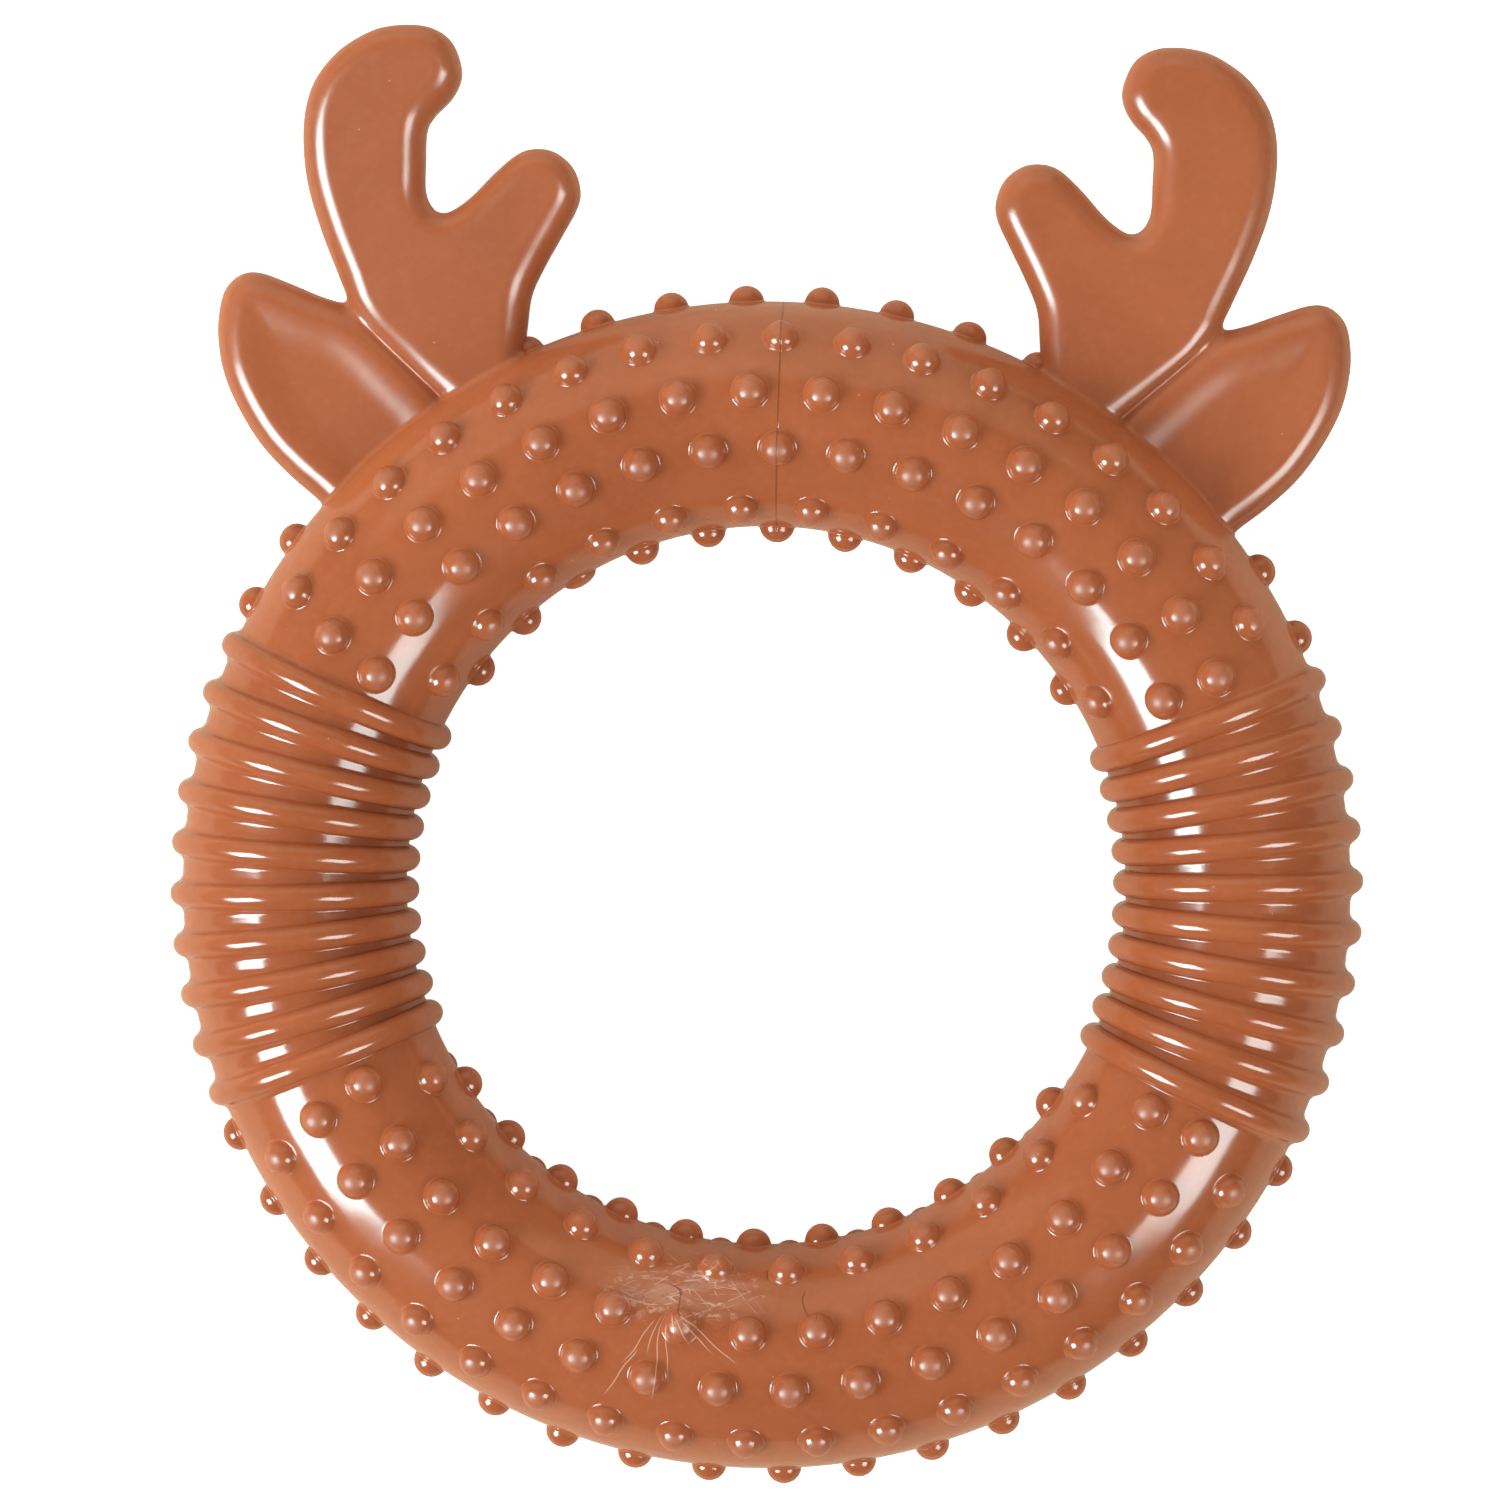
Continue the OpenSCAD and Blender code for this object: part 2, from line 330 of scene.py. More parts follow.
def smooth_curve(shares, size):
    """Closed curve through an outline's points, in millimetres."""
    p = np.array(shares) * size
    before = np.roll(p, 1, 0)
    after = np.roll(p, -1, 0)
    second = np.roll(p, -2, 0)
    steps = []
    for k in range(CURVE_STEPS):
        t = k / CURVE_STEPS
        square = 2 * before - 5 * p + 4 * after - second
        cube = 3 * p - before - 3 * after + second
        steps.append((2 * p + (after - before) * t + square * t ** 2 + cube * t ** 3) / 2)
    return np.stack(steps, 1).reshape(-1, 2)


def curve_distance(points, curve):
    """Distance of flat points to a closed curve, negative inside it."""
    start = curve
    way = np.roll(curve, -1, 0) - curve
    long = (way ** 2).sum(1)
    out = np.empty(len(points))
    for first in range(0, len(points), CHUNK):
        q = points[first:first + CHUNK, None]
        off = q - start
        share = np.clip((off * way).sum(2) / long, 0, 1)
        gap = off - share[..., None] * way
        near = np.sqrt((gap ** 2).sum(2).min(1))
        above = start[:, 1] > q[..., 1]
        crosses = above != np.roll(above, -1, 1)
        turn = off[..., 0] * way[:, 1] < off[..., 1] * way[:, 0]
        inside = (crosses & (turn == (way[:, 1] > 0))).sum(1) % 2 == 1
        out[first:first + CHUNK] = np.where(inside, -near, near)
    return out


def distance_map(curve):
    """Distances to an outline on a fine flat grid, a little blurred so that highlights run smoothly."""
    low = curve.min(0) - MAP_MARGIN
    count = np.ceil((curve.max(0) + MAP_MARGIN - low) / MAP_STEP).astype(int)
    cells = np.stack(np.meshgrid(np.arange(count[0]), np.arange(count[1]), indexing="ij"), -1)
    values = curve_distance((low + MAP_STEP * cells).reshape(-1, 2), curve).reshape(count)
    for _ in range(BLUR_ROUNDS):
        for axis in (0, 1):
            values = (np.roll(values, 1, axis) + 2 * values + np.roll(values, -1, axis)) / 4
    return low, values


def cubic_weights(t):
    """Shares of four values in a row, for a place between the middle two."""
    return [(-t + 2 * t ** 2 - t ** 3) / 2, (2 - 5 * t ** 2 + 3 * t ** 3) / 2,
            (t + 4 * t ** 2 - 3 * t ** 3) / 2, (t ** 3 - t ** 2) / 2]


def mapped(distances, q):
    """Distances read from a map with smooth slopes."""
    low, values = distances
    at = np.clip((q - low) / MAP_STEP, 1, np.array(values.shape) - 3)
    cell = at.astype(int)
    across = cubic_weights(at[:, 0] - cell[:, 0])
    along = cubic_weights(at[:, 1] - cell[:, 1])
    out = np.zeros(len(q))
    for i in range(4):
        for j in range(4):
            out += across[i] * along[j] * values[cell[:, 0] + i - 1, cell[:, 1] + j - 1]
    return out


ANTLER_CURVE = smooth_curve(ANTLER_SHARES, ANTLER_SIZE)
EAR_CURVE = smooth_curve(EAR_SHARES, EAR_SIZE)
ANTLER_MAP = distance_map(ANTLER_CURVE)
EAR_MAP = distance_map(EAR_CURVE)


def on_rim(p, azimuth):
    """Flat places in the frame of a piece that stands on the rim at an azimuth."""
    a = math.radians(azimuth)
    x, y = p[:, 0], p[:, 1]
    up = x * math.sin(a) + y * math.cos(a) - RING_R - TUBE_R
    return np.stack([x * math.cos(a) - y * math.sin(a), up], 1)


def off_rim(q, azimuth):
    """The reverse of on_rim."""
    a = math.radians(azimuth)
    x, y = q[:, 0], q[:, 1] + RING_R + TUBE_R
    return np.stack([x * math.cos(a) + y * math.sin(a), y * math.cos(a) - x * math.sin(a)], 1)


def rounded_plate(beyond, z, half, edge):
    """Distance to a plate of a half thickness with rounded edges, from the distance beyond its outline."""
    side = beyond + edge
    face = np.abs(z) - half + edge
    return np.minimum(np.maximum(side, face), 0) + np.hypot(np.maximum(side, 0), np.maximum(face, 0)) - edge


def smooth_step(x):
    """Runs smoothly from 0 to 1."""
    x = np.clip(x, 0, 1)
    return x * x * (3 - 2 * x)


def bare_tube(p):
    """Distance to the ring's tube."""
    return np.hypot(np.hypot(p[:, 0], p[:, 1]) - RING_R, p[:, 2]) - TUBE_R


def bare_antler(p):
    """Distance to the right antler, whose edge is sharper next to the ear."""
    q = on_rim(p, ANTLER_AZIMUTH)
    by_ear = smooth_step(q[:, 0] / SEAM_EASE) * smooth_step((SEAM_LONG - q[:, 1]) / SEAM_EASE)
    edge = ANTLER_ROUND - (ANTLER_ROUND - SEAM_ROUND) * by_ear
    return rounded_plate(mapped(ANTLER_MAP, q), p[:, 2], ANTLER_T / 2, edge)


def bare_ear(p):
    """Distance to the right ear with its dished faces."""
    beyond = mapped(EAR_MAP, on_rim(p, EAR_AZIMUTH))
    half = EAR_T / 2 - EAR_DISH * smooth_step((-beyond - DISH_START) / DISH_SLOPE)
    return rounded_plate(beyond, p[:, 2], half, EAR_ROUND)


def footed(base, plate, blend, dive):
    """Distance to a plate whose fillet runs out flush with its base and dives under it as a skirt."""
    under = dive * smooth_step((plate - blend) / REACH)
    filled = soft_union(base, plate, blend) + under
    return np.maximum.reduce([filled, plate - blend - REACH, -base - DEPTH])


def antler(p, dive):
    """Distance to the right antler with its filleted foot."""
    return footed(bare_tube(p), bare_antler(p), PLATE_FILLET, dive)


def ear(p, dive):
    """Distance to the right ear, whose foot meets the tube and the antler."""
    base = soft_union(bare_tube(p), bare_antler(p), PLATE_FILLET)
    notch = smooth_step((np.hypot(p[:, 0], p[:, 1]) - NOTCH_FROM) / NOTCH_LONG)
    return footed(base, bare_ear(p), SEAM_FILLET + (NOTCH_FILLET - SEAM_FILLET) * notch, dive)


def probe(shape, p, dive):
    """Value and slope of a shape's distance at many places."""
    values = [shape(p + PROBE * c, dive) for c in CORNERS]
    slope = sum(v[:, None] * c for v, c in zip(values, CORNERS)) / len(CORNERS) / PROBE
    return sum(values) / len(CORNERS), slope


def unit(v):
    """Vectors made one long."""
    return v / np.maximum(np.linalg.norm(v, axis=-1, keepdims=True), LEAST_LENGTH)


def settle(shape, p):
    """Moves places towards a shape's surface, and gives the surface's normals too."""
    value, slope = probe(shape, p, DIVE)
    step = value / np.maximum((slope ** 2).sum(1), MIN_SLOPE ** 2)
    return p - slope * np.clip(step, -MOST_STEP, MOST_STEP)[:, None], unit(slope)


def relax(p, normal, faces):
    """Evens out the places along the surface."""
    total = np.zeros_like(p)
    for a, b in ((0, 1), (1, 2), (2, 3), (3, 0)):
        for axis in range(3):
            total[:, axis] += np.bincount(faces[:, a], p[faces[:, b], axis], len(p))
    count = np.bincount(faces.ravel(), minlength=len(p))
    move = total / np.maximum(count, 1)[:, None] - p
    move -= (move * normal).sum(1)[:, None] * normal
    return p + RELAX_SHARE * move


def meshed(shape, curve, azimuth, half):
    """Places, normals and faces of a plate's surface."""
    flat = off_rim(curve, azimuth)
    low = np.append(flat.min(0), -half) - BOX_MARGIN
    high = np.append(flat.max(0), half) + BOX_MARGIN
    axes = [np.arange(a, b, VOXEL) for a, b in zip(low, high)]
    cells = np.stack(np.meshgrid(*axes, indexing="ij"), -1)
    values = shape(cells.reshape(-1, 3), DIVE).reshape(cells.shape[:3])
    grid = openvdb.FloatGrid(2 * VOXEL)
    grid.copyFromArray(values.astype(np.float32))
    places, faces = grid.convertToQuads()
    p = low + VOXEL * np.array(places, float)
    faces = np.array(faces, int)
    for _ in range(SETTLE_STEPS):
        p, normal = settle(shape, p)
    for _ in range(RELAX_STEPS):
        p, normal = settle(shape, relax(p, normal, faces))
    for _ in range(SETTLE_STEPS):
        p, normal = settle(shape, p)
    across = np.cross(p[faces[:, 2]] - p[faces[:, 0]], p[faces[:, 3]] - p[faces[:, 1]])
    if (across * normal[faces[:, 0]]).sum() < 0:
        faces = faces[:, ::-1]
    _, slope = probe(shape, p, 0)
    return p, unit(slope), faces


def directions(azimuth, tilt):
    """Unit steps out of the tube, along the ring and round the tube, from angles in radians."""
    level = np.zeros_like(azimuth)
    radial = np.stack([np.sin(azimuth), np.cos(azimuth), level], -1)
    along = np.stack([np.cos(azimuth), -np.sin(azimuth), level], -1)
    axis = np.array([0, 0, 1.0])
    rise = np.sin(tilt)[..., None]
    run = np.cos(tilt)[..., None]
    return rise * radial + run * axis, along, run * radial - rise * axis, radial


def bump(radius, height, fillet):
    """Height of a round bump's centre, reach of its foot and its steepest angle."""
    centre = height - radius
    foot = np.sqrt((radius + fillet) ** 2 - (fillet - centre) ** 2)
    return centre, foot, np.arctan2(foot, fillet - centre)


def rib_shape(rho):
    """Fillet radius of the ribs at a distance from the ring's axis, and the bump that it gives."""
    share = smooth_step((rho - RIB_FILLET_FROM) / (RIB_FILLET_TO - RIB_FILLET_FROM))
    fillet = RIB_FILLET + (RIB_FILLET_OUT - RIB_FILLET) * share
    return fillet, *bump(RIB_R, RIB_H, fillet)


def rib_relief(azimuth, tilt):
    """Height over the bare tube and slope along the ring, from angles in radians."""
    turn = np.arcsin(np.cos(azimuth)) * np.sign(np.sin(azimuth))
    step = math.radians(RIB_STEP)
    place = np.clip(np.round(np.abs(turn) / step - 0.5), 0, RIB_COUNT / 2 - 1) + 0.5
    off = np.abs(turn) - place * step
    # From here x is the distance from the middle of the nearest rib
    rho = RING_R + TUBE_R * np.sin(tilt)
    x = np.abs(rho * np.sin(off))
    drop = np.sqrt(np.maximum(RIB_R ** 2 - x ** 2, LEAST_SQUARE))
    fillet, centre, foot, steep = rib_shape(rho)
    to_foot = np.clip(foot - x, 0, fillet * np.sin(steep))
    rest = np.sqrt(fillet ** 2 - to_foot ** 2)
    on_crest = x < RIB_R * np.sin(steep)
    height = np.where(on_crest, centre + drop, fillet - rest)
    slope = np.where(on_crest, -x / drop, -to_foot / rest)
    middle = rho * math.sin(step / 2)
    inside = place < (RIB_COUNT - 1) / 2
    slope = np.where(inside | (off < 0), slope * np.clip((middle - x) / VALLEY_EASE, 0, 1), slope)
    return height, -slope * np.sign(off) * np.sign(turn)


def laid_round(azimuth, tilt):
    """Places and normals of the ribbed tube on a grid of angles in radians."""
    out, along, _, radial = directions(azimuth, tilt)
    height, slope = rib_relief(azimuth, tilt)
    return RING_R * radial + (TUBE_R + height)[..., None] * out, unit(out - slope[..., None] * along)


def tilts():
    """Tilts of the places round the tube."""
    return np.radians(np.arange(TUBE_SIDES) * 360 / TUBE_SIDES)


def arc_rows(start, end):
    """Azimuths of a bare arc's rows, closer together at its ends, in degrees."""
    count = round((end - start) / TUBE_STEP)
    rows = [start + EDGE_ROWS, end - EDGE_ROWS, np.linspace(start, end, count + 1)[1:-1]]
    return np.unique(np.round(np.concatenate(rows), ROW_DIGITS))


def arc_angles(start, end):
    """Azimuths and tilts of a bare arc's rows."""
    return np.meshgrid(np.radians(arc_rows(start, end)), tilts(), indexing="ij")


def grip_angles():
    """Azimuths and tilts of the right grip's rows, which follow its ribs."""
    tilt = tilts()
    rho = RING_R + TUBE_R * np.sin(tilt)
    _, _, _, steep = rib_shape(rho)
    crest = RIB_R * np.sin(np.outer(np.arange(CREST_STEPS + 1) / CREST_STEPS, steep))
    share = (np.arange(1, VALLEY_STEPS + 1) / VALLEY_STEPS) ** VALLEY_CROWDING
    rows = []
    for k in range(RIB_COUNT):
        middle = math.radians((k + 0.5 - RIB_COUNT / 2) * RIB_STEP)
        for side in (-1, 1):
            at_end = (k == 0 and side < 0) or (k == RIB_COUNT - 1 and side > 0)
            half = math.radians(GRIP_HALF - (RIB_COUNT - 1) / 2 * RIB_STEP if at_end else RIB_STEP / 2)
            last = np.arcsin(crest[-1] / rho)
            steps = [np.arcsin(x / rho) for x in crest] + [last + (half - last) * s for s in share]
            if side < 0:
                rows += [middle - s for s in steps[:0:-1]]
            else:
                rows += [middle + s for s in (steps if at_end else steps[:-1])]
    azimuth = math.pi / 2 + np.array(rows)
    return azimuth, np.broadcast_to(tilt, azimuth.shape)


def walls(rows, columns):
    """Faces between the rows of a grid whose last column joins its first."""
    i, j = np.meshgrid(np.arange(rows - 1), np.arange(columns), indexing="ij")
    low = i * columns
    high = low + columns
    after = (j + 1) % columns
    return np.stack([low + j, high + j, high + after, low + after], -1).reshape(-1, 4)


def grid_faces(rows, columns):
    """Skin faces of a grid that closes on itself, and the two flat covers of its ends."""
    first = np.arange(columns)
    last = first[::-1] + (rows - 1) * columns
    return walls(rows, columns).tolist(), [first.tolist(), last.tolist()]


def nub_profile():
    """Reach, height and steepness of a nub from its tip to the hem of its skirt."""
    centre, foot, steep = bump(NUB_R, NUB_H, NUB_FILLET)
    dome = steep * np.arange(1, DOME_STEPS + 1) / DOME_STEPS
    fillet = steep * (1 - np.arange(1, FILLET_STEPS + 1) / FILLET_STEPS)
    reach = [NUB_R * np.sin(dome), foot - NUB_FILLET * np.sin(fillet), [foot + SKIRT_W]]
    height = [centre + NUB_R * np.cos(dome), NUB_FILLET * (1 - np.cos(fillet)), [-SKIRT_DEPTH]]
    return np.concatenate(reach), np.concatenate(height), np.concatenate([dome, fillet, [0]])


def nub_places(rows, lower, back):
    """Azimuth and tilt of every nub in some rows, in radians."""
    out = []
    for tilt, pitch, first in rows:
        reach = RING_R + TUBE_R * math.sin(math.radians(tilt))
        last = GRIP_EDGE - math.degrees(math.asin(NUB_ROOM / reach))
        k = np.arange(-math.floor(last / pitch + first), math.floor(last / pitch - first) + 1) + first
        for azimuth in np.sort(k * pitch):
            out.append((180 - azimuth if lower else azimuth, 180 - tilt if back else tilt))
    return np.radians(out)


def meshed_nubs(places):
    """Places, normals, skin faces and flat bottoms of a set of nubs of slightly different heights."""
    worn = 1 - NUB_WEAR * np.random.default_rng(WEAR_SEED).random(len(places))
    worn[np.abs(places - np.radians(TORN_NUB)).max(1) < SAME_PLACE] = TORN_HEIGHT
    reach, height, steep = nub_profile()
    turn = 2 * math.pi * np.arange(NUB_SIDES) / NUB_SIDES
    tilt = places[:, 1, None, None] + reach[:, None] * np.sin(turn) / TUBE_R
    azimuth = places[:, 0, None, None] + reach[:, None] * np.cos(turn) / (RING_R + TUBE_R * np.sin(tilt))
    out, along, round_tube, radial = directions(azimuth, tilt)
    rise = height[:, None] * worn[:, None, None]
    p = RING_R * radial + (TUBE_R + rise)[..., None] * out
    lean = np.cos(turn)[:, None] * along + np.sin(turn)[:, None] * round_tube
    side = np.sin(steep)[:, None] * worn[:, None, None]
    n = unit(np.cos(steep)[:, None, None] * out + side[..., None] * lean)
    tip_out, _, _, tip_radial = directions(places[:, 0], places[:, 1])
    tips = RING_R * tip_radial + (TUBE_R + NUB_H * worn[:, None]) * tip_out
    p = np.concatenate([tips[:, None], p.reshape(len(places), -1, 3)], 1)
    n = np.concatenate([tip_out[:, None], n.reshape(len(places), -1, 3)], 1)
    j = np.arange(NUB_SIDES)
    fan = np.stack([0 * j, 1 + j, 1 + (j + 1) % NUB_SIDES], 1)
    rings = 1 + walls(len(reach), NUB_SIDES)
    bottom = 1 + (len(reach) - 1) * NUB_SIDES + j[::-1]
    skin = []
    covers = []
    for first in range(0, p.shape[0] * p.shape[1], p.shape[1]):
        skin += (fan + first).tolist() + (rings + first).tolist()
        covers.append((bottom + first).tolist())
    return p.reshape(-1, 3), n.reshape(-1, 3), skin, covers


def new_mesh(name, places, normals, skin, covers):
    """A mesh in metres with exact normals on its skin and flat covers."""
    mesh = bpy.data.meshes.new(name)
    mesh.from_pydata(places * MM, [], skin + covers)
    corners = np.empty(len(mesh.loops), int)
    mesh.loops.foreach_get("vertex_index", corners)
    exact = normals[corners]
    # A zero stands for the face's own normal
    if covers:
        exact[-sum(len(c) for c in covers):] = 0
    smooth = np.ones(len(mesh.polygons), bool)
    smooth[len(skin):] = False
    mesh.polygons.foreach_set("use_smooth", smooth)
    mesh.normals_split_custom_set(exact)
    return mesh


def mark(mesh, name, values):
    """Stores a value for every place of a mesh, which the rubber reads."""
    mesh.attributes.new(name, "FLOAT", "POINT").data.foreach_set("value", values)


def node(tree, kind, **values):
    """A new shader node; keys are socket names or the node's own settings."""
    new = tree.nodes.new(kind)
    for key, value in values.items():
        name = key.replace("_", " ")
        if name in new.inputs:
            new.inputs[name].default_value = value
        else:
            setattr(new, key, value)
    return new


def put(tree, socket, value):
    """Links an output to a socket, or sets a constant on it."""
    if isinstance(value, bpy.types.NodeSocket):
        tree.links.new(value, socket)
    else:
        socket.default_value = value


def calc(tree, operation, a, b=0.0, c=0.0):
    """Output of a math node."""
    new = tree.nodes.new("ShaderNodeMath")
    new.operation = operation
    for socket, value in zip(new.inputs, (a, b, c)):
        put(tree, socket, value)
    return new.outputs[0]


def fade(tree, value, start, end):
    """1 where the value is at start, 0 at end, and the same beyond them; either may be the greater."""
    new = node(tree, "ShaderNodeMapRange", interpolation_type="SMOOTHSTEP", From_Min=start, From_Max=end)
    new.inputs["To Min"].default_value = 1
    new.inputs["To Max"].default_value = 0
    put(tree, new.inputs["Value"], value)
    return new.outputs[0]


def noise(tree, places, scale, detail, stray=0.0):
    """Value of a noise at some places."""
    new = node(tree, "ShaderNodeTexNoise", Scale=scale, Detail=detail, Distortion=stray)
    tree.links.new(places, new.inputs["Vector"])
    return new.outputs["Fac"]


def moved(tree, places, offset, stretch=(1, 1, 1)):
    """Places counted from another origin and stretched."""
    new = node(tree, "ShaderNodeVectorMath", operation="SUBTRACT")
    tree.links.new(places, new.inputs[0])
    new.inputs[1].default_value = offset
    more = node(tree, "ShaderNodeVectorMath", operation="MULTIPLY")
    tree.links.new(new.outputs[0], more.inputs[0])
    more.inputs[1].default_value = stretch
    return more.outputs[0]


def parts(tree, places):
    """The three parts of a vector."""
    new = node(tree, "ShaderNodeSeparateXYZ")
    tree.links.new(places, new.inputs[0])
    return new.outputs


def hairs(tree, places, scale, width):
    """Thin lines where a noise crosses its middle value."""
    off = calc(tree, "SUBTRACT", noise(tree, places, scale, HAIR_DETAIL), NOISE_MIDDLE)
    return fade(tree, calc(tree, "ABSOLUTE", off), width / 2, width)


def patch(tree, places, centre, stretch, full, none):
    """1 within a distance of a place, 0 beyond another one."""
    new = node(tree, "ShaderNodeVectorMath", operation="LENGTH")
    tree.links.new(moved(tree, places, centre, stretch), new.inputs[0])
    return fade(tree, new.outputs["Value"], full, none)


def tinted(tree, share, under, over):
    """One colour with a share of another over it."""
    new = node(tree, "ShaderNodeMix", data_type="RGBA")
    put(tree, new.inputs[0], share)
    put(tree, new.inputs[6], under)
    put(tree, new.inputs[7], over)
    return new.outputs[2]


def turned(tree, places, degrees):
    """Places turned about the ring's axis."""
    new = node(tree, "ShaderNodeVectorRotate", rotation_type="Z_AXIS", Angle=math.radians(degrees))
    tree.links.new(places, new.inputs["Vector"])
    return new.outputs[0]


def scratch(tree, places, degrees, start, end):
    """A thin line in one direction, faded at both ends."""
    x, y, _ = parts(tree, turned(tree, places, -degrees))
    line = fade(tree, calc(tree, "ABSOLUTE", y), *SCRATCH_WINDOW)
    line = calc(tree, "MULTIPLY", line, fade(tree, x, end - SCRATCH_OUT, end))
    return calc(tree, "MULTIPLY", line, fade(tree, x, start, start - SCRATCH_IN))


def gate_marks(tree, places):
    """Pale haze, white scratches and dark cracks round the gate."""
    off = moved(tree, places, GATE)
    haze = noise(tree, moved(tree, off, (0, 0, 0), HAZE_STRETCH), *HAZE_NOISE)
    haze = calc(tree, "MULTIPLY", patch(tree, places, *HAZE_PATCH), fade(tree, haze, *HAZE_WINDOW))
    near = patch(tree, places, *STREAK_PATCH)
    gaps = fade(tree, noise(tree, off, *GAP_NOISE), *GAP_WINDOW)
    white = 0.0
    for degrees, scale in STREAKS:
        along = moved(tree, turned(tree, off, degrees), (STREAK_SHIFT * degrees, 0, 0), STREAK_STRETCH)
        streak = calc(tree, "MULTIPLY", hairs(tree, along, scale, STREAK_WIDTH), near)
        white = calc(tree, "MAXIMUM", white, streak)
    white = calc(tree, "MULTIPLY", white, gaps)
    bent = node(tree, "ShaderNodeTexNoise", Scale=SWAY_SCALE, Detail=SWAY_DETAIL)
    tree.links.new(off, bent.inputs["Vector"])
    sway = node(tree, "ShaderNodeVectorMath", operation="ADD")
    tree.links.new(off, sway.inputs[0])
    tree.links.new(moved(tree, bent.outputs["Color"], (NOISE_MIDDLE,) * 3, SWAY), sway.inputs[1])
    for degrees, start, end in SCRATCHES:
        white = calc(tree, "MAXIMUM", white, scratch(tree, sway.outputs[0], degrees, start, end))
    white = calc(tree, "MULTIPLY", white, fade(tree, parts(tree, places)[2], *FRONT_WINDOW))
    cracks = hairs(tree, moved(tree, places, CRACK_SHIFT, CRACK_STRETCH), CRACK_SCALE, CRACK_WIDTH)
    cracks = calc(tree, "MULTIPLY", cracks, patch(tree, places, *CRACK_PATCH))
    gaps = fade(tree, noise(tree, places, *CRACK_GAP_NOISE), *CRACK_GAP_WINDOW)
    return haze, white, calc(tree, "MULTIPLY", cracks, gaps)


def specks_of(tree, places):
    """Small pale specks in some of the cells of a pattern."""
    dust = node(tree, "ShaderNodeTexVoronoi", Scale=SPECK_SCALE)
    tree.links.new(places, dust.inputs["Vector"])
    lot, _, _ = parts(tree, dust.outputs["Color"])
    spot = fade(tree, dust.outputs["Distance"], *SPECK_WINDOW)
    return calc(tree, "MULTIPLY", spot, calc(tree, "GREATER_THAN", lot, SPECK_LOT))


def rubber():
    """Glossy tan-brown moulded rubber with marks round the gate, a knit line, specks and fine waves,
    painted shade in the ribs' inner valleys and a painted sheen on dull tips and plates.
    """
    material = bpy.data.materials.new("tan_rubber")
    material.use_nodes = True
    tree = material.node_tree
    shader = tree.nodes["Principled BSDF"]
    shader.inputs["IOR"].default_value = IOR
    metres = node(tree, "ShaderNodeTexCoord").outputs["Object"]
    places = moved(tree, metres, (0, 0, 0), (1 / MM, 1 / MM, 1 / MM))
    x, y, _ = parts(tree, places)
    tip = node(tree, "ShaderNodeAttribute", attribute_name="tip").outputs["Fac"]
    crease_shade = node(tree, "ShaderNodeAttribute", attribute_name="crease_shade").outputs["Fac"]
    clouds = noise(tree, places, *CLOUDS)
    grain = noise(tree, places, *GRAIN)
    haze, white, cracks = gate_marks(tree, places)
    knit = fade(tree, calc(tree, "ABSOLUTE", x), *KNIT_WINDOW)
    knit = calc(tree, "MULTIPLY", knit, fade(tree, y, *KNIT_FOOT))

    colour = tinted(tree, fade(tree, clouds, *CLOUD_WINDOW), TAN_DARK, TAN)
    layers = [
        (fade(tree, grain, *GRAIN_WINDOW), GRAIN_TINT, TAN_PALE),
        # Painted sheen on dull tips and plates; their roughness below is real
        (tip, TIP_SHEEN_TINT, TAN_PALE),
        # Painted shade in the ribs' inner valleys
        (crease_shade, CREASE_SHADE_TINT, CRACK_AND_SHADE),
        (haze, HAZE_TINT, SCUFF),
        (white, WHITE_TINT, SCUFF),
        (specks_of(tree, places), SPECK_TINT, SCUFF),
        (cracks, CRACK_TINT, CRACK_AND_SHADE),
        (knit, KNIT_TINT, CRACK_AND_SHADE),
    ]
    for value, share, over in layers:
        colour = tinted(tree, calc(tree, "MULTIPLY", value, share), colour, over)
    tree.links.new(colour, shader.inputs["Base Color"])

    rough = ROUGH
    for value, share in ((clouds, CLOUD_ROUGH), (grain, GRAIN_ROUGH), (tip, TIP_ROUGH), (haze, HAZE_ROUGH)):
        rough = calc(tree, "MULTIPLY_ADD", value, share, rough)
    tree.links.new(rough, shader.inputs["Roughness"])

    relief = noise(tree, places, *WAVES)
    relief = calc(tree, "MULTIPLY_ADD", noise(tree, places, *RIPPLES), RIPPLE_SHARE, relief)
    relief = calc(tree, "MULTIPLY_ADD", knit, KNIT_SHARE, relief)
    waves = node(tree, "ShaderNodeBump", Distance=BUMP_MM * MM)
    tree.links.new(relief, waves.inputs["Height"])
    tree.links.new(waves.outputs["Normal"], shader.inputs["Normal"])
    return material


def add_piece(mesh, material, *nodes):
    """A visible piece that rides on the toy's body in place of some of the CAD's nodes."""
    piece = bpy.data.objects.new(mesh.name, mesh)
    bpy.context.scene.collection.objects.link(piece)
    mesh.materials.append(material)
    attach(piece, "root")
    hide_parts(*nodes)


def painted_crease_shade(azimuth, tilt):
    """1 where the valleys of the ribs on the ring's inside are painted with shade, 0 elsewhere."""
    rho = RING_R + TUBE_R * np.sin(tilt)
    turn = np.abs(np.arcsin(np.cos(azimuth)))
    to_end = (math.radians(GRIP_HALF) - turn) * rho
    height, _ = rib_relief(azimuth, tilt)
    low = smooth_step(1 - height / CREASE_H)
    within = smooth_step((CREASE_TO - rho) / CREASE_LONG)
    return low * within * smooth_step(to_end / CREASE_END)


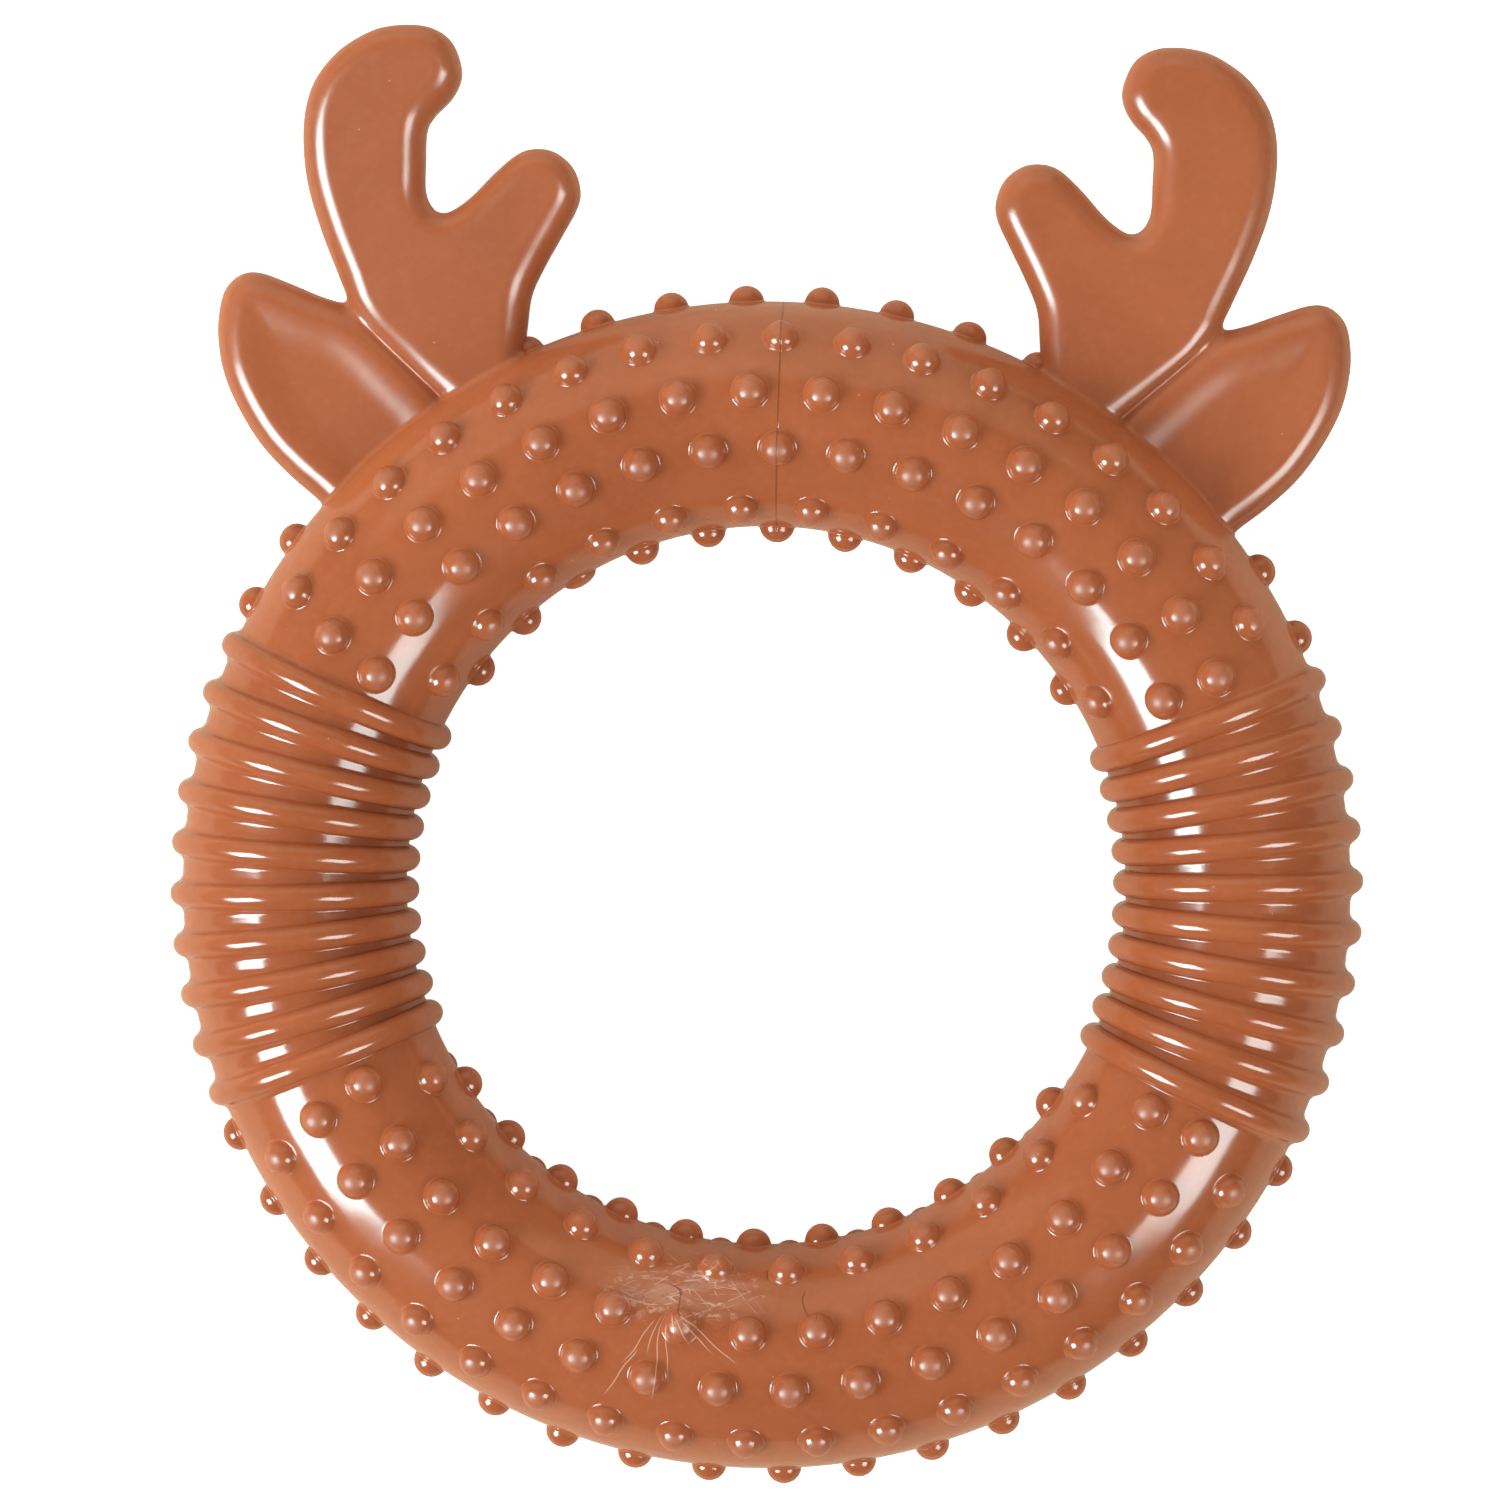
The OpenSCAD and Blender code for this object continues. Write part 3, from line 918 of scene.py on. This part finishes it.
def add_ring(material):
    """The bare arcs and the ribbed grips."""
    ribbed, across = grip_angles()
    segments = {
        "upper_left_arc": arc_angles(-GRIP_EDGE, 0),
        "upper_right_arc": arc_angles(0, GRIP_EDGE),
        "lower_arc": arc_angles(180 - GRIP_EDGE, 180 + GRIP_EDGE),
        "right_grip": (ribbed, across),
        "left_grip": (ribbed + math.pi, across),
    }
    for name, (azimuth, tilt) in segments.items():
        places, normals = laid_round(azimuth, tilt)
        skin, covers = grid_faces(*azimuth.shape)
        mesh = new_mesh(name + "_rubber", places.reshape(-1, 3), normals.reshape(-1, 3), skin, covers)
        nodes = [name]
        if name.endswith("grip"):
            nodes.append(name + "_ribs")
            # Marks where the ribs' inner valleys get painted shade
            mark(mesh, "crease_shade", painted_crease_shade(azimuth, tilt).ravel())
        add_piece(mesh, material, *nodes)


def leaning(places, normals):
    """Normals of an antler, turned as if its tips lean towards whoever looks at them."""
    up = np.hypot(places[:, 0], places[:, 1]) - RING_R - TUBE_R
    turn = math.radians(LEAN) * smooth_step(up / LEAN_LONG) * normals[:, 2]
    sine = np.sin(turn)
    cosine = np.cos(turn)
    x, y, z = normals.T
    return np.stack([x, y * cosine - z * sine, z * cosine + y * sine], 1)


def add_nubs(material):
    """The nubs, one mesh for each of their nodes; the outer row has none under the plates."""
    _, height, _ = nub_profile()
    dull = smooth_step((height / NUB_H - DULL_FROM) / DULL_LONG)
    tip = np.concatenate([[1], np.repeat(dull, NUB_SIDES)])
    for half in ("upper", "lower"):
        sets = {
            "outer": (OUTER_ROW, False),
            "front": (FACE_ROWS, False),
            "inner": (INNER_ROW, False),
            "back": (FACE_ROWS, True),
        }
        for word, (rows, back) in sets.items():
            places = nub_places(rows, half == "lower", back)
            if half == "upper" and word == "outer":
                out, _, _, radial = directions(np.abs(places[:, 0]), places[:, 1])
                tips = RING_R * radial + (TUBE_R + NUB_H) * out
                places = places[np.minimum(bare_antler(tips), bare_ear(tips)) > -NUB_H / 2]
            name = half + "_" + word + "_nubs"
            mesh = new_mesh(name + "_rubber", *meshed_nubs(places))
            mark(mesh, "tip", np.tile(tip, len(places)))
            add_piece(mesh, material, name)


def add_plates(material):
    """Antlers and ears; the left ones are the right ones mirrored."""
    plates = [
        ("antler", antler, ANTLER_CURVE, ANTLER_AZIMUTH, ANTLER_T / 2, ANTLER_DULL),
        ("ear", ear, EAR_CURVE, EAR_AZIMUTH, EAR_T / 2, EAR_DULL),
    ]
    for name, shape, curve, azimuth, half, dull in plates:
        places, normals, faces = meshed(shape, curve, azimuth, half)
        for word, side in (("right", 1), ("left", -1)):
            mirror = np.array([side, 1, 1])
            piece = word + "_" + name
            shown = leaning(places, normals) if piece == "left_antler" else normals
            skin = faces[:, ::side].tolist()
            mesh = new_mesh(piece + "_rubber", places * mirror, shown * mirror, skin, [])
            mark(mesh, "tip", np.full(len(places), dull))
            add_piece(mesh, material, piece)


def add_camera():
    """The photograph's camera."""
    turn = (Matrix.Rotation(CAMERA_TURN[2], 3, "Z") @ Matrix.Rotation(CAMERA_TURN[1], 3, "Y")
            @ Matrix.Rotation(CAMERA_TURN[0], 3, "X"))
    place = -(turn.transposed() @ Vector(CAMERA_SHIFT)) * MM
    camera = bpy.data.objects.new("camera", bpy.data.cameras.new("camera"))
    camera.data.sensor_width = SENSOR
    camera.data.lens = FOCAL_PX / PICTURE_PX * SENSOR
    camera.data.clip_start = CLIP_START
    camera.data.clip_end = CLIP_END
    camera.matrix_world = Matrix.Translation(place) @ turn.transposed().to_4x4()
    bpy.context.scene.collection.objects.link(camera)
    bpy.context.scene.camera = camera


def add_light(name, azimuth, elevation, size, power, colour, gloss):
    """A soft light that shines on the ring's middle, for highlights or for shading."""
    a = math.radians(azimuth)
    e = math.radians(elevation)
    way = Vector((math.sin(a) * math.cos(e), math.sin(e), math.cos(a) * math.cos(e)))
    light = bpy.data.lights.new(name, "AREA")
    light.shape = "RECTANGLE"
    light.size, light.size_y = size
    light.energy = power
    light.color = colour
    lamp = bpy.data.objects.new(name, light)
    lamp.location = way * LIGHT_DISTANCE
    lamp.rotation_euler = way.to_track_quat("Z", "Y").to_euler()
    lamp.visible_glossy = gloss
    lamp.visible_diffuse = not gloss
    bpy.context.scene.collection.objects.link(lamp)


def add_world():
    """White to the camera, dim to everything else."""
    world = bpy.data.worlds.new("studio")
    bpy.context.scene.world = world
    world.use_nodes = True
    tree = world.node_tree
    background = tree.nodes["Background"]
    background.inputs["Color"].default_value = (1, 1, 1, 1)
    ray = node(tree, "ShaderNodeLightPath").outputs
    dim = calc(tree, "MULTIPLY_ADD", ray["Is Glossy Ray"], WORLD_GLOSS - WORLD_SHADE, WORLD_SHADE)
    strength = calc(tree, "MAXIMUM", ray["Is Camera Ray"], dim)
    tree.links.new(strength, background.inputs["Strength"])


def add_floor():
    """Plain pale floor under the nubs of the back, which glows a little to the camera and is painted warmer
    where it shows in reflections, as warm bounce light.
    """
    half = FLOOR_SIZE / 2
    mesh = bpy.data.meshes.new("floor")
    corners = [(-half, -half, 0), (half, -half, 0), (half, half, 0), (-half, half, 0)]
    mesh.from_pydata(corners, [], [(0, 1, 2, 3)])
    floor = bpy.data.objects.new("floor", mesh)
    floor.location.z = cad_box[0][2]
    material = bpy.data.materials.new("floor")
    material.use_nodes = True
    tree = material.node_tree
    sockets = tree.nodes["Principled BSDF"].inputs
    sockets["Roughness"].default_value = FLOOR_ROUGH
    sockets["Emission Color"].default_value = (1, 1, 1, 1)
    ray = node(tree, "ShaderNodeLightPath").outputs
    # Painted warm bounce light in the floor's reflections
    shade = tinted(tree, ray["Is Glossy Ray"], FLOOR_TINT, FLOOR_WARM_REFLECTION_TINT)
    tree.links.new(shade, sockets["Base Color"])
    glow = calc(tree, "MULTIPLY", ray["Is Camera Ray"], FLOOR_GLOW)
    tree.links.new(glow, sockets["Emission Strength"])
    mesh.materials.append(material)
    bpy.context.scene.collection.objects.link(floor)


add_camera()
rubber_material = rubber()
add_ring(rubber_material)
add_nubs(rubber_material)
add_plates(rubber_material)
for light_row in LIGHTS:
    add_light(*light_row)
add_world()
add_floor()
bpy.context.scene.view_settings.view_transform = "Standard"
